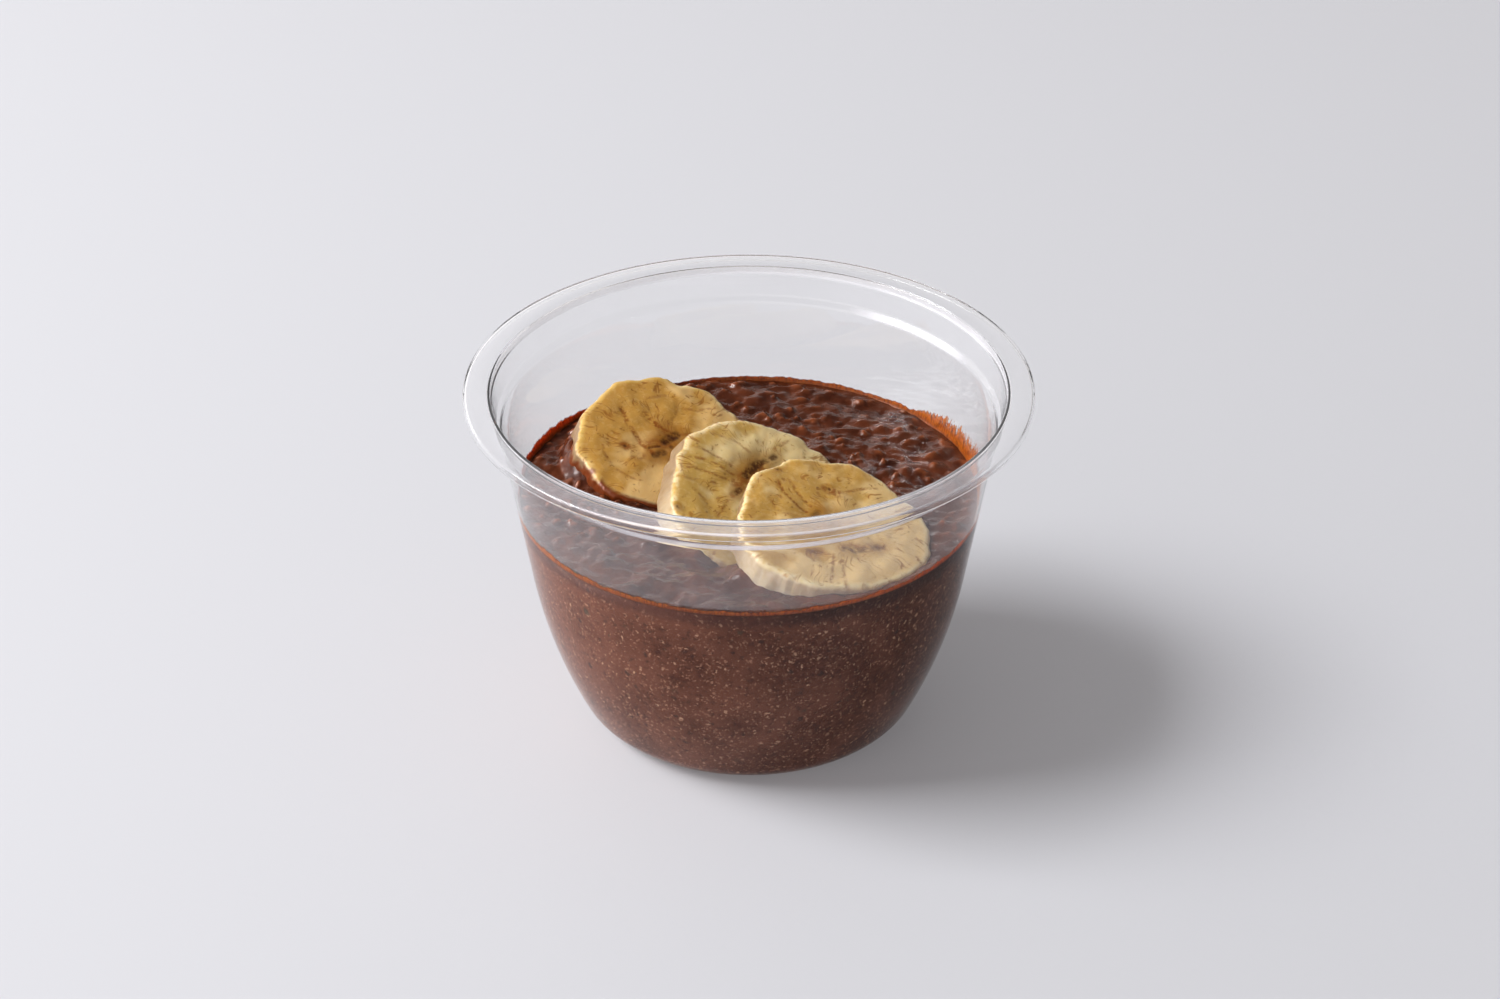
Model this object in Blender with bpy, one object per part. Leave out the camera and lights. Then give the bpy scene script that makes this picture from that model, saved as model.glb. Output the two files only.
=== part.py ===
"""Chocolate chia pudding in a clear round plastic cup, with three overlapping banana slices on top.

The cup is a thin turned shell with a flat base, a rounded lower corner, a tapering wall, a stacking
ledge and a flat flange whose outer edge turns down. The pudding fills it up to its level, and its top
is lumpy. The banana slices lie like roof tiles: the front one on the middle one, and that on the back
one. Each is pressed into the pudding, which is cut round it.
Metres, +Z up, the origin at the centre of the base, and the front of the cup towards -Y.
"""
import bpy
import bmesh
from math import atan2, cos, pi, radians, sin, tan
from mathutils import Euler, Matrix, Vector, noise

MM = 0.001
GAP = 0.3 * MM                    # clearance between pieces that touch

# The cup, radii measured from its axis and heights from the surface it stands on
CUP_HEIGHT = 65.0 * MM
CUP_WALL = 0.6 * MM
CUP_SIDES = 72
BASE_RADIUS = 24.0 * MM           # of the flat underside
CORNER_RADIUS = 7.9 * MM          # round the lower edge
CORNER_SLOPE = radians(26.0)      # of the wall off the vertical, just above the corner
TAPER_SLOPE = radians(9.9)        # of the wall off the vertical, in its upper half
TAPER_HEIGHT = 29.5 * MM          # where the bulging lower wall turns into the straight taper
LEDGE_DROP = 6.5 * MM             # from the rim down to the stacking ledge
LEDGE_WIDTH = 0.75 * MM
FLANGE_RADIUS = 50.5 * MM
FLANGE_WIDTH = 4.85 * MM
FLANGE_LIP = 1.3 * MM             # how far the outer edge of the flange turns down
FLANGE_ROUND = 0.35 * MM

# The pudding
LEVEL_DROP = 21.74 * MM           # from the rim down to the pudding's surface
PUDDING_SIDES = 84
PUDDING_RINGS = 22
LUMP_SIZE = 5.2 * MM
LUMP_HEIGHT = 0.75 * MM
GRAIN_SIZE = 2.4 * MM
GRAIN_HEIGHT = 0.45 * MM
BANK_WIDTH = 3.0 * MM             # the slope of the pudding that is pushed up against a slice
BANK_HEIGHT = 3.2 * MM            # the most that it is pushed up
BANK_GRIP = 1.6 * MM              # how far it covers the lower edge of a slice

# The banana slices. Each row: name, place of the face's middle across and along the cup and above the
# pudding's level, lean to the right, lean to the front, radius, how much it is oval and towards where,
# how much it is three-sided and towards where
SLICE_THICKNESS = 6.3 * MM
SLICE_SIDES = 48
SLICE_EDGE = 0.5 * MM             # rounding of its edges
SLICE_HEART = 0.45 * MM           # depth of the three seed chambers in the cut face
SLICES = (
    ("banana_slice_back", (-14.94, 11.10, 3.73), 10.8, 16.0, 16.29, 0.25, -47, 0.16, -30),
    ("banana_slice_middle", (2.46, -5.57, 1.92), 19.3, 20.5, 17.49, 0.35, 55, 0.40, 14),
    ("banana_slice_front", (14.61, -18.36, 4.79), 12.8, 8.9, 17.19, 0.54, 42, 0.62, -6),
)

LEVEL = CUP_HEIGHT - LEVEL_DROP


def material(name, colour, roughness, alpha=1.0):
    mat = bpy.data.materials.new(name)
    mat.use_nodes = True
    shader = mat.node_tree.nodes["Principled BSDF"]
    shader.inputs["Base Color"].default_value = (*colour, 1.0)
    shader.inputs["Roughness"].default_value = roughness
    shader.inputs["Metallic"].default_value = 0.0
    shader.inputs["Alpha"].default_value = alpha
    return mat


def arc(centre, radius, start, stop, steps):
    """Points on a circle in the (radius, height) plane, angles from the outward direction."""
    angles = [start + (stop - start) * i / steps for i in range(steps + 1)]
    return [(centre[0] + radius * cos(a), centre[1] + radius * sin(a)) for a in angles]


def turned(profile, sides):
    """A closed body from a profile of (radius, height) points that starts and ends on the axis."""
    bm = bmesh.new()
    verts = [bm.verts.new((radius, 0.0, height)) for radius, height in profile]
    edges = [bm.edges.new(pair) for pair in zip(verts, verts[1:])]
    bmesh.ops.spin(bm, geom=verts + edges, cent=(0, 0, 0), axis=(0, 0, 1), angle=2 * pi,
                   steps=sides, use_merge=True)
    bmesh.ops.remove_doubles(bm, verts=bm.verts, dist=1e-6)
    bmesh.ops.recalc_face_normals(bm, faces=bm.faces)
    return bm


def finished(bm, name, mat, sharp=35.0):
    mesh = bpy.data.meshes.new(name)
    bm.to_mesh(mesh)
    bm.free()
    mesh.shade_smooth()
    mesh.set_sharp_from_angle(angle=radians(sharp))
    mesh.materials.append(mat)
    obj = bpy.data.objects.new(name, mesh)
    bpy.context.scene.collection.objects.link(obj)
    return obj


# The outer line of the cup's wall: corner, bulge and taper, each an arc or a straight run
def corner_top():
    radius = BASE_RADIUS + CORNER_RADIUS * cos(CORNER_SLOPE)
    height = CORNER_RADIUS * (1 - sin(CORNER_SLOPE))
    return radius, height


def bulge():
    """Centre and radius of the arc that leads from the corner into the taper."""
    radius, height = corner_top()
    bend = (TAPER_HEIGHT - height) / (sin(CORNER_SLOPE) - sin(TAPER_SLOPE))
    return (radius - bend * cos(CORNER_SLOPE), height + bend * sin(CORNER_SLOPE)), bend


def wall_line(inset, steps_corner=5, steps_bulge=7):
    """The wall from the base's edge up to the ledge, moved inwards by inset."""
    corner = (BASE_RADIUS, CORNER_RADIUS)
    centre, bend = bulge()
    points = arc(corner, CORNER_RADIUS - inset, -pi / 2, -CORNER_SLOPE, steps_corner)
    points += arc(centre, bend - inset, -CORNER_SLOPE, -TAPER_SLOPE, steps_bulge)[1:]
    radius, height = points[-1]
    top = CUP_HEIGHT - LEDGE_DROP - LEDGE_WIDTH * 0.5
    points.append((radius + (top - height) * tan(TAPER_SLOPE), top))
    return points


def wall_radius(height, inset):
    """Radius of the moved wall line at a height above the corner."""
    line = wall_line(inset, 12, 12)
    for (r0, z0), (r1, z1) in zip(line, line[1:]):
        if z0 <= height <= z1:
            return r0 + (r1 - r0) * (height - z0) / (z1 - z0)
    return line[-1][0]


def build_cup(mat):
    inner_edge = FLANGE_RADIUS - FLANGE_WIDTH
    outside = wall_line(0.0)
    inside = wall_line(CUP_WALL)
    ledge_out = outside[-1][0] + LEDGE_WIDTH
    ledge_in = inside[-1][0] + LEDGE_WIDTH
    ledge_top = CUP_HEIGHT - LEDGE_DROP + LEDGE_WIDTH * 0.5
    under = CUP_HEIGHT - CUP_WALL
    lip_inner = FLANGE_RADIUS - CUP_WALL
    lip_centre = (FLANGE_RADIUS - FLANGE_ROUND, CUP_HEIGHT - FLANGE_ROUND)
    profile = [(0.0, 0.0)] + outside
    profile += [(ledge_out, ledge_top), (inner_edge + CUP_WALL * 0.4, under - FLANGE_ROUND)]
    profile += [(inner_edge + CUP_WALL, under), (lip_inner, under), (lip_inner, CUP_HEIGHT - FLANGE_LIP)]
    profile += [(FLANGE_RADIUS, CUP_HEIGHT - FLANGE_LIP)]
    profile += arc(lip_centre, FLANGE_ROUND, 0.0, pi / 2, 3)
    profile += [(inner_edge, CUP_HEIGHT), (inner_edge - FLANGE_ROUND, CUP_HEIGHT - FLANGE_ROUND)]
    profile += [(ledge_in, ledge_top)] + inside[::-1] + [(0.0, CUP_WALL)]
    return finished(turned(profile, CUP_SIDES), "cup", mat)


def slice_rotation(row):
    return Euler((radians(row[3]), radians(row[2]), 0.0))


def slice_place(row):
    across, along, above = row[1]
    return Vector((across * MM, along * MM, LEVEL + above * MM))


def slice_outline(row, angle):
    """Radius of a slice in a direction: a little oval, a little three-sided, and faintly ribbed."""
    oval = row[5] * cos(2 * (angle - radians(row[6])))
    lobes = row[7] * cos(3 * (angle - radians(row[8])))
    ribs = 0.14 * cos(7 * angle + row[6]) + 0.10 * cos(11 * angle + row[8])
    return (row[4] + oval + lobes + ribs) * MM


def slice_body(row, grow):
    """A round thick slice, its cut face at height 0 and its body below, bigger by grow all round."""
    radius = row[4] * MM + grow
    bottom = -SLICE_THICKNESS - grow
    edge = SLICE_EDGE
    profile = [(0.0, bottom), (radius * 0.6, bottom)]
    profile += arc((radius - edge, bottom + edge), edge, -pi / 2, 0.0, 2)
    profile += arc((radius - edge, grow - edge), edge, 0.0, pi / 2, 2)
    profile += [(radius * share, grow) for share in (0.82, 0.62, 0.40, 0.26, 0.13)] + [(0.0, grow)]
    bm = turned(profile, SLICE_SIDES)
    for vert in bm.verts:
        angle = atan2(vert.co.y, vert.co.x)
        stretch = (slice_outline(row, angle) + grow) / radius
        vert.co.x *= stretch
        vert.co.y *= stretch
        reach = Vector((vert.co.x, vert.co.y)).length / radius
        if vert.co.z > grow - edge * 0.5 and grow == 0.0:
            chamber = max(0.0, 1.0 - abs(reach - 0.26) / 0.2) * (0.5 + 0.5 * cos(3 * angle + row[8]))
            vert.co.z -= SLICE_HEART * chamber
    return bm


def build_slice(row, mat):
    obj = finished(slice_body(row, 0.0), row[0], mat, sharp=50.0)
    obj.location = slice_place(row)
    obj.rotation_euler = slice_rotation(row)
    return obj


def smooth_step(value):
    value = min(1.0, max(0.0, value))
    return value * value * (3 - 2 * value)


def bank_at(x, y):
    """How far the pudding is pushed up at a place, to hold the lower edge of a slice above it."""
    rise = 0.0
    free = 1.0
    for row in SLICES:
        place = slice_place(row)
        turn = Matrix.LocRotScale(place, slice_rotation(row), None)
        normal = turn.to_3x3() @ Vector((0, 0, 1))
        under = turn @ Vector((0, 0, -SLICE_THICKNESS))
        height = under.z - ((x - under.x) * normal.x + (y - under.y) * normal.y) / normal.z
        local = turn.inverted() @ Vector((x, y, height))
        outside = local.xy.length - slice_outline(row, atan2(local.y, local.x))
        wanted = min(BANK_HEIGHT, height + BANK_GRIP - LEVEL)
        rise = max(rise, wanted * smooth_step(1.0 - outside / BANK_WIDTH) * free)
        apart = Vector((x - place.x, y - place.y)).length - row[4] * MM
        free = min(free, smooth_step(apart / BANK_WIDTH))
    return rise


def pudding_top(x, y, share):
    """Height of the pudding's top above its level: lumps and grains, calmer at the wall."""
    place = Vector((x, y, 0.0))
    lumps = noise.noise(place / LUMP_SIZE) * LUMP_HEIGHT
    grains = noise.noise(place / GRAIN_SIZE + Vector((7, 3, 1))) * GRAIN_HEIGHT
    calm = min(1.0, (1.0 - share) * 8.0)
    return (lumps + grains) * (0.3 + 0.7 * calm) + bank_at(x, y) * min(1.0, calm * 2.0)


def build_pudding(mat, cutters):
    inset = CUP_WALL + GAP
    radius = wall_radius(LEVEL, inset)
    side = [point for point in wall_line(inset, 4, 4) if point[1] < LEVEL - 3 * MM]
    profile = [(0.0, inset)] + side + [(radius, LEVEL)]
    profile += [(radius * (1 - i / PUDDING_RINGS), LEVEL) for i in range(1, PUDDING_RINGS + 1)]
    bm = turned(profile, PUDDING_SIDES)
    for vert in bm.verts:
        share = vert.co.xy.length / radius
        if vert.co.z > LEVEL - MM and share < 0.99:
            vert.co.z += pudding_top(vert.co.x, vert.co.y, share)
    pudding = finished(bm, "pudding", mat, sharp=60.0)
    for cutter in cutters:
        cut = pudding.modifiers.new("cut round " + cutter.name, "BOOLEAN")
        cut.operation = "DIFFERENCE"
        cut.solver = "EXACT"
        cut.object = cutter
    return pudding


def slice_cutter(row):
    """The slice's own form, larger by the clearance, which the pudding is cut with."""
    mesh = bpy.data.meshes.new("room_for_" + row[0])
    bm = slice_body(row, GAP)
    bm.to_mesh(mesh)
    bm.free()
    cutter = bpy.data.objects.new("room_for_" + row[0], mesh)
    bpy.context.scene.collection.objects.link(cutter)
    cutter.location = slice_place(row)
    cutter.rotation_euler = slice_rotation(row)
    cutter.hide_render = True
    cutter.display_type = "WIRE"
    return cutter


def main():
    for obj in list(bpy.data.objects):
        bpy.data.objects.remove(obj, do_unlink=True)
    clear = material("clear_plastic", (0.93, 0.94, 0.96), 0.06, 0.35)
    chocolate = material("chocolate_pudding", (0.085, 0.035, 0.022), 0.3)
    banana = material("banana_flesh", (0.80, 0.62, 0.30), 0.45)
    build_cup(clear)
    for row in SLICES:
        build_slice(row, banana)
    build_pudding(chocolate, [slice_cutter(row) for row in SLICES])


main()
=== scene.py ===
# %% [markdown]
# # Chocolate chia pudding with banana, in a clear cup
# A cup of dessert is three very different materials close together: thin clear plastic, a dark wet
# pudding full of soaked seeds, and pale moist fruit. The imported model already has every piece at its
# true size. This lesson dresses it: each piece gets a finely modelled double, which takes the place of
# the plain solid, and a material made only of nodes.

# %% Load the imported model
import random
from math import atan2, cos, degrees, exp, pi, radians, sin, tan

import bmesh
import bpy
from mathutils import Euler, Matrix, Vector, noise


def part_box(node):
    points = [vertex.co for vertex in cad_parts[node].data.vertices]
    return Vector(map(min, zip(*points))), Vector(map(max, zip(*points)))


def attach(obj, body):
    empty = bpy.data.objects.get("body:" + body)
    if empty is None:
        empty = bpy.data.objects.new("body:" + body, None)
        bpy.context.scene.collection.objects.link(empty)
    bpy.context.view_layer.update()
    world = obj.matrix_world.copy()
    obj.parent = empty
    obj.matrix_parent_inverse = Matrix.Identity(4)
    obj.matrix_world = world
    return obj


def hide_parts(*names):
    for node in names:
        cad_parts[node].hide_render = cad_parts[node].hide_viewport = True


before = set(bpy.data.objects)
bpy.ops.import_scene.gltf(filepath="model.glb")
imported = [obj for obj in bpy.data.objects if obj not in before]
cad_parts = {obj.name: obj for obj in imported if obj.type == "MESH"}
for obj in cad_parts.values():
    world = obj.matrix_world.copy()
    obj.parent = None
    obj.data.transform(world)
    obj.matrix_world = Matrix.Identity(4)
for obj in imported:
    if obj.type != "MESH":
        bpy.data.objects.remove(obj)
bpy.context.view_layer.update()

MM = 0.001
scene = bpy.context.scene
print("nodes:", sorted(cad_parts))

# %% [markdown]
# ## The camera
# The photograph looks down at the cup by about 31 degrees from a good arm's length, with a lens of
# about 100 mm. Such a lens keeps the rim's ellipse and the taper of the wall in the right proportion.
# The camera aims at a point on the cup's axis, a little above its middle.

# %% Camera
CAMERA_TILT = radians(30.89)
CAMERA_DISTANCE = 0.7474
CAMERA_LENS = 100.08
AIM = Vector((0.0002, 0.0, 0.04166))

camera = bpy.data.objects.new("camera", bpy.data.cameras.new("camera"))
scene.collection.objects.link(camera)
camera.data.lens = CAMERA_LENS
camera.location = AIM + Vector((0.0, -cos(CAMERA_TILT), sin(CAMERA_TILT))) * CAMERA_DISTANCE
camera.rotation_euler = (AIM - camera.location).to_track_quat("-Z", "Y").to_euler()
scene.camera = camera
print("camera stands at", [round(v, 3) for v in camera.location])

# %% [markdown]
# ## Helpers for materials
# Every material is a Principled shader with some nodes in front of it. These few functions keep the
# wiring short: `wire` sets or links a socket, `calc` and its three short forms do sums, `ramp` turns a
# value into a mask between two limits, and `tinted` lays one colour over another by a mask. `new_node`
# puts each node into the tree of the outputs that it works on, which they know as their `id_data`.

# %% Nodes for sums and masks
def wire(value, socket):
    """Sets a socket to a constant, or links an output to it."""
    if isinstance(value, bpy.types.NodeSocket):
        socket.id_data.links.new(value, socket)
    elif isinstance(value, tuple) and len(value) == 3 and socket.type == "RGBA":
        socket.default_value = (*value, 1.0)
    else:
        socket.default_value = value


def new_material(name, **values):
    """A material with its tree and shader; an underscore in a socket's name stands for a space."""
    mat = bpy.data.materials.new(name)
    mat.use_nodes = True
    shader = mat.node_tree.nodes["Principled BSDF"]
    for label, value in values.items():
        wire(value, shader.inputs[label.replace("_", " ")])
    return mat, mat.node_tree, shader


def new_node(kind, *values, **settings):
    """A node in the tree of the first output among the values, which go to its sockets in turn."""
    tree = next(value.id_data for value in values if isinstance(value, bpy.types.NodeSocket))
    node = tree.nodes.new("ShaderNode" + kind)
    for label, value in settings.items():
        setattr(node, label, value)
    for socket, value in zip(node.inputs, values):
        wire(value, socket)
    return node


def calc(operation, first, second=0.0):
    return new_node("Math", first, second, operation=operation).outputs[0]


def plus(first, second):
    return calc("ADD", first, second)


def minus(first, second):
    return calc("SUBTRACT", first, second)


def times(first, second):
    return calc("MULTIPLY", first, second)


def ramp(value, low, high):
    """A smooth mask that is 0 at low and 1 at high."""
    return new_node("MapRange", value, low, high, interpolation_type="SMOOTHSTEP").outputs["Result"]


def mixed(factor, first, second, blend="MIX"):
    node = new_node("Mix", factor, data_type="RGBA", blend_type=blend)
    wire(first, node.inputs[6])
    wire(second, node.inputs[7])
    return node.outputs[2]


def tinted(colour, mask, strength, second):
    """Lays a second colour over the first by a mask, and nowhere more than the strength."""
    return mixed(times(mask, strength), colour, second)


print("a tint of strength 0.5 leaves half of the first colour")

# %% [markdown]
# The second set reads places and makes patterns. A place is a vector, which can be scaled, taken apart
# into its axes and put together again. Noise gives clouds and fibres, and Voronoi cells give flecks.
# What several materials share is a node group, with sockets that have names.

# %% Nodes for places and patterns
def vector_calc(operation, first, second=(0.0, 0.0, 0.0)):
    node = new_node("VectorMath", first, operation=operation)
    wire(second, node.inputs["Scale" if operation == "SCALE" else 1])
    return node.outputs["Value" if operation in ("LENGTH", "DOT_PRODUCT") else "Vector"]


def separate(vector, axis):
    return new_node("SeparateXYZ", vector).outputs[axis]


def combined(x, y, z):
    return new_node("CombineXYZ", x, y, z).outputs[0]


def attribute(tree, name, output="Fac"):
    node = tree.nodes.new("ShaderNodeAttribute")
    node.attribute_name = name
    return node.outputs[output]


def millimetres(tree):
    """Object coordinates, counted in millimetres."""
    return vector_calc("SCALE", tree.nodes.new("ShaderNodeTexCoord").outputs["Object"], 1.0 / MM)


def grain(vector, scale, detail=2.0, rough=0.5, output="Fac"):
    return new_node("TexNoise", vector, 0.0, scale, detail, rough).outputs[output]


def spots(vector, scale):
    return new_node("TexVoronoi", vector, 0.0, scale).outputs


def bump(height, shader, strength, distance):
    node = shader.id_data.nodes.new("ShaderNodeBump")
    for label, value in (("Strength", strength), ("Distance", distance), ("Height", height)):
        wire(value, node.inputs[label])
    wire(node.outputs["Normal"], shader.inputs["Normal"])


def group_of(name, inputs, outputs):
    """A new node group; inputs and outputs are names, each with the kind of its socket."""
    group = bpy.data.node_groups.new(name, "ShaderNodeTree")
    for way, sockets in (("INPUT", inputs), ("OUTPUT", outputs)):
        for label, kind in sockets.items():
            group.interface.new_socket(name=label, in_out=way, socket_type="NodeSocket" + kind)
    return group, group.nodes.new("NodeGroupInput"), group.nodes.new("NodeGroupOutput")


def use_group(tree, group, **values):
    node = tree.nodes.new("ShaderNodeGroup")
    node.node_tree = group
    for label, value in values.items():
        wire(value, node.inputs[label])
    return node.outputs


print("object coordinates are scaled by", round(1.0 / MM), "to count in millimetres")

# %% [markdown]
# ## Light and colour
# The light is that of a white studio: a large soft lamp to the left and pale walls under a darker
# ceiling. Walls that are bright low down matter here. Clear plastic and wet chocolate have hardly any
# look of their own, and they mirror those walls. The Standard view keeps the colours as they are mixed,
# and a gamma a little under one gives the deeper darks of a photograph.

# %% Light
LAMP_PLACE, LAMP_TARGET = Vector((-1.33, -0.01, 1.20)), Vector((0.0, 0.0, 0.03))
LAMP_SIZE = (1.00, 0.85)
LAMP_POWER = 45.5
LAMP_COLOUR = (0.97, 0.99, 1.0)
WALL_LEFT = (1.65, 1.61, 1.60)
WALL_RIGHT = (0.30, 0.29, 0.285)
CEILING = (0.14, 0.132, 0.13)
WALL_TURNS = (-0.9, 0.9)          # from left to right, where the left wall turns into the right one
WALL_TOP = (0.40, 0.60)           # sines of the height angles between which the wall turns dark
VIEW_GAMMA = 0.86

lamp_data = bpy.data.lights.new("window", "AREA")
lamp_data.shape = "RECTANGLE"
lamp_data.size, lamp_data.size_y = LAMP_SIZE
lamp_data.energy = LAMP_POWER
lamp_data.color = LAMP_COLOUR
lamp = bpy.data.objects.new("window", lamp_data)
scene.collection.objects.link(lamp)
lamp.location = LAMP_PLACE
lamp.rotation_euler = (LAMP_TARGET - LAMP_PLACE).to_track_quat("-Z", "Y").to_euler()

studio = bpy.data.worlds.new("studio")
studio.use_nodes = True
air = studio.node_tree
direction = air.nodes.new("ShaderNodeTexCoord").outputs["Generated"]
walls = mixed(ramp(separate(direction, "X"), *WALL_TURNS), WALL_LEFT, WALL_RIGHT)
walls = mixed(ramp(separate(direction, "Z"), *WALL_TOP), walls, CEILING)
wire(walls, air.nodes["Background"].inputs["Color"])
scene.world = studio
scene.view_settings.view_transform = "Standard"
scene.view_settings.gamma = VIEW_GAMMA
print("the lamp is", round((LAMP_TARGET - LAMP_PLACE).length, 2), "m from the cup")

# %% [markdown]
# ## The floor
# The cup stands on a plain pale floor. A faint glow in the floor keeps the shadow open, as the white
# all round does in a studio.

# %% Floor
FLOOR_SIZE = 6.0
FLOOR_COLOUR = (0.486, 0.482, 0.502)
FLOOR_GLOW = 0.172

floor_paint, _, _ = new_material("floor", Base_Color=FLOOR_COLOUR, Roughness=0.55, Specular_IOR_Level=0.25,
                                 Emission_Color=FLOOR_COLOUR, Emission_Strength=FLOOR_GLOW / FLOOR_COLOUR[1])
bm = bmesh.new()
bmesh.ops.create_grid(bm, x_segments=1, y_segments=1, size=FLOOR_SIZE / 2)
floor_mesh = bpy.data.meshes.new("floor")
bm.to_mesh(floor_mesh)
bm.free()
floor_mesh.materials.append(floor_paint)
floor = bpy.data.objects.new("floor", floor_mesh)
scene.collection.objects.link(floor)
print("the floor is", FLOOR_SIZE, "m wide")

# %% [markdown]
# ## Helpers for turned pieces
# The cup, the pudding and a slice of banana are all turned shapes: a line in the plane of the axis,
# spun round. A profile is a list of radius and height, and its round stretches come from `arc` or
# `rounded`. A full spin in hundreds of steps is slow, so `turned` spins a quarter and mirrors it twice.
# Doubles are merged before the normals are put right.

# %% Lines
def arc(centre, radius, start, stop, steps):
    """Points on a circle in the plane of radius and height, angles from the outward direction."""
    angles = [start + (stop - start) * i / steps for i in range(steps + 1)]
    return [(centre[0] + radius * cos(a), centre[1] + radius * sin(a)) for a in angles]


def rounded(corners, steps=5):
    """A line through corners of (radius, height, round), each cut back by its round into a bend."""
    line = []
    for index, (radius, height, cut) in enumerate(corners):
        here = Vector((radius, height))
        if cut == 0.0 or index in (0, len(corners) - 1):
            line.append((radius, height))
            continue
        before = Vector(corners[index - 1][:2]) - here
        after = Vector(corners[index + 1][:2]) - here
        start = here + before.normalized() * min(cut, before.length * 0.49)
        end = here + after.normalized() * min(cut, after.length * 0.49)
        for i in range(steps + 1):
            t = i / steps
            line.append(tuple(start * (1 - t) ** 2 + here * (2 * t * (1 - t)) + end * t ** 2))
    return line


def between(points, steps):
    """The same line with every stretch divided, so that it can be bent."""
    dense = [points[0]]
    for (r0, z0), (r1, z1) in zip(points, points[1:]):
        dense += [(r0 + (r1 - r0) * i / steps, z0 + (z1 - z0) * i / steps) for i in range(1, steps + 1)]
    return dense


def smooth_step(value):
    value = min(1.0, max(0.0, value))
    return value * value * (3 - 2 * value)


print("a quarter circle in 4 steps has", len(arc((0, 0), 1, 0, pi / 2, 4)), "points")

# %% Turned pieces
MERGE = 1e-6


def turned(profile, sides, closed=False):
    """A bmesh from a profile that starts and ends on the axis, or that closes on itself."""
    bm = bmesh.new()
    verts = [bm.verts.new((radius, 0.0, height)) for radius, height in profile]
    pairs = zip(verts, verts[1:] + verts[:1]) if closed else zip(verts, verts[1:])
    edges = [bm.edges.new(pair) for pair in pairs]
    bmesh.ops.spin(bm, geom=verts + edges, cent=(0, 0, 0), axis=(0, 0, 1), angle=pi / 2, steps=sides // 4)
    for side in "YX":
        bmesh.ops.mirror(bm, geom=bm.verts[:] + bm.edges[:] + bm.faces[:], merge_dist=MERGE, axis=side)
    bmesh.ops.remove_doubles(bm, verts=bm.verts, dist=MERGE)
    bmesh.ops.recalc_face_normals(bm, faces=bm.faces)
    return bm


def piece(name, bm, *materials):
    """Turns a bmesh into a smooth-shaded object that rides with the model."""
    mesh = bpy.data.meshes.new(name)
    bm.to_mesh(mesh)
    bm.free()
    mesh.shade_smooth()
    for mat in materials:
        mesh.materials.append(mat)
    obj = bpy.data.objects.new(name, mesh)
    scene.collection.objects.link(obj)
    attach(obj, "root")
    print(f"{name}: {len(mesh.vertices)} points, {len(mesh.polygons)} faces")
    return obj


print("points closer than", MERGE / MM, "mm are merged")

# %% [markdown]
# ## The cup
# A deep-drawn dessert cup is one sheet of clear plastic about half a millimetre thick. From the base it
# rounds into a bulging wall, runs straight, steps out at a ledge that keeps stacked cups from jamming,
# and ends in a flat flange whose outer edge curls down. Fine lines in the photograph come from those
# small bends, so each has its own radius here. The sizes are those of the solid.

# %% Cup wall
CUP_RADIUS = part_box("cup")[1].x
CUP_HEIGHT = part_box("cup")[1].z
SKIN = 0.42 * MM                  # the plastic, thinner than the solid's wall
BASE_RADIUS = 24.0 * MM
CORNER_RADIUS = 7.9 * MM
CORNER_SLOPE = radians(26.0)
TAPER_SLOPE = radians(9.9)
TAPER_HEIGHT = 29.5 * MM
LEDGE_DROP = 6.5 * MM
LEDGE_WIDTH = 0.75 * MM
wall_lines = {}


def wall_line(inset, corner_steps=12, bulge_steps=20, taper_steps=4):
    """The cup's wall from the edge of its base up to the ledge, moved inwards by inset."""
    corner_out = BASE_RADIUS + CORNER_RADIUS * cos(CORNER_SLOPE)
    corner_up = CORNER_RADIUS * (1 - sin(CORNER_SLOPE))
    bend = (TAPER_HEIGHT - corner_up) / (sin(CORNER_SLOPE) - sin(TAPER_SLOPE))
    centre = (corner_out - bend * cos(CORNER_SLOPE), corner_up + bend * sin(CORNER_SLOPE))
    line = arc((BASE_RADIUS, CORNER_RADIUS), CORNER_RADIUS - inset, -pi / 2, -CORNER_SLOPE, corner_steps)
    line += arc(centre, bend - inset, -CORNER_SLOPE, -TAPER_SLOPE, bulge_steps)[1:]
    radius, height = line[-1]
    top = CUP_HEIGHT - LEDGE_DROP - LEDGE_WIDTH * 0.5
    end = (radius + (top - height) * tan(TAPER_SLOPE), top)
    return line + between([line[-1], end], taper_steps)[1:]


def wall_radius(height, inset):
    """Radius of the moved wall line at a height."""
    if inset not in wall_lines:
        wall_lines[inset] = wall_line(inset)
    line = wall_lines[inset]
    for (r0, z0), (r1, z1) in zip(line, line[1:]):
        if z0 <= height <= z1:
            return r0 + (r1 - r0) * (height - z0) / (z1 - z0)
    return line[-1][0]


print("the wall at mid height has a radius of", round(wall_radius(CUP_HEIGHT / 2, 0.0) / MM, 2), "mm")

# %% [markdown]
# Above the wall the same sheet makes the ledge, a small groove for a lid, the flange and its lip. One
# list of corners runs up the outside and one down the inside. Each corner has the round of its bend.

# %% Cup rim
LEDGE_RISE = 1.15 * MM
FLANGE_WIDTH = 4.85 * MM
FLANGE_LIP = 1.3 * MM
GROOVE_DROP = 1.35 * MM
GROOVE_STEP = 0.25 * MM
LIP_BEND = 0.55 * MM
SOFT_BEND = 0.4 * MM
BEND = 0.3 * MM
EDGE_BEND = 0.25 * MM
FINE_BEND = 0.2 * MM
CUP_SIDES = 480


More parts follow.
